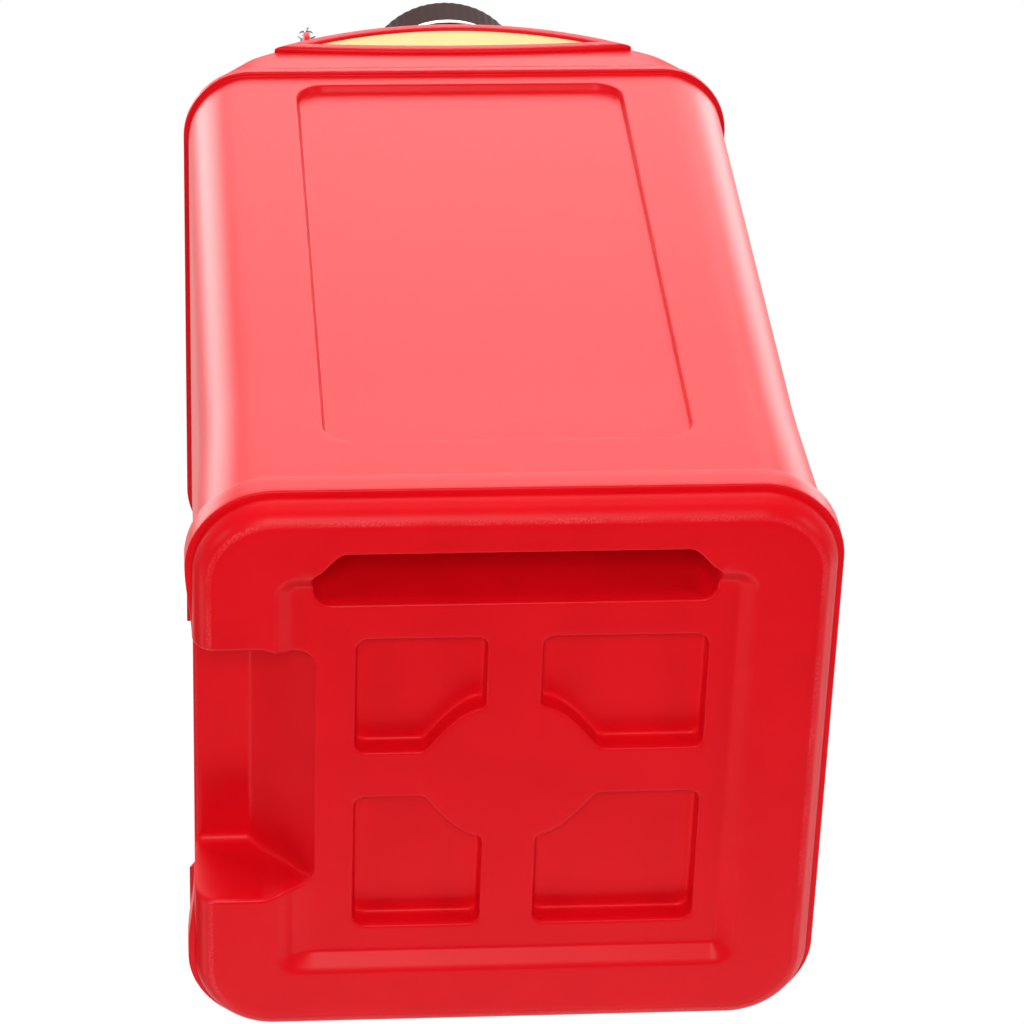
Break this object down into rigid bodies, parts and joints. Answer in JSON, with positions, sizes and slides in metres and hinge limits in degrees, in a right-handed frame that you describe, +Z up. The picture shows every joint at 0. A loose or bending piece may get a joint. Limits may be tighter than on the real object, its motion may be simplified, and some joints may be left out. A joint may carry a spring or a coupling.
{
  "type": "gas can",
  "caption": "Upright moulded plastic fuel can with a screw cap on a chain, carry handle, flip-up vent, flame arrester and finger grips in its base, for carrying and pouring petrol.",
  "frame": {"origin": "on the ground under the middle of the base", "axes": "+Z up the can, -Y out of the front face with the label, +X to the can's right as one faces the front"},
  "size_m": [0.236, 0.238, 0.4181],
  "materials": {
    "red_polyethylene": "satin",
    "black_polypropylene": "satin",
    "zinc_plated_steel": "bright",
    "steel_gauze": "satin",
    "nitrile_rubber": "matte",
    "label_film": "satin"
  },
  "bodies": {
    "can": {"can_body": "red_polyethylene", "front_label": "label_film", "arrester_cage": "black_polypropylene", "arrester_mesh": "steel_gauze", "tether_ring": "zinc_plated_steel", "tether_chain": "zinc_plated_steel", "vent_collar": "black_polypropylene", "vent_pin": "zinc_plated_steel"},
    "tether_swivel": {"swivel_ring": "zinc_plated_steel", "split_ring": "zinc_plated_steel"},
    "cap_seal": {"cap_gasket": "nitrile_rubber"},
    "cap": {"screw_cap": "black_polypropylene"},
    "vent": {"vent_cap": "black_polypropylene"}
  },
  "joints": [
    {"name": "cap_off", "type": "slide", "parent": "can", "child": "tether_swivel", "axis": [0, 0, 1], "range_m": [0, 0.045], "deforming": ["tether_chain"]},
    {"name": "cap_lift", "type": "slide", "parent": "tether_swivel", "child": "cap_seal", "axis": [0, 0, 1], "range_m": [0, 0.00625]},
    {"name": "cap_turn", "type": "hinge", "parent": "cap_seal", "child": "cap", "pos_m": [0, -0.075, 0.4], "axis": [0, 0, 1], "range_deg": [0, 450]},
    {"name": "vent_flip", "type": "hinge", "parent": "can", "child": "vent", "pos_m": [0.0126, 0.099, 0.3856], "axis": [0, 1, 0], "range_deg": [0, 130]}
  ],
  "couplings": [
    {"joint": "cap_lift", "follows": "cap_turn", "m_per_rad": 0.00079577}
  ]
}
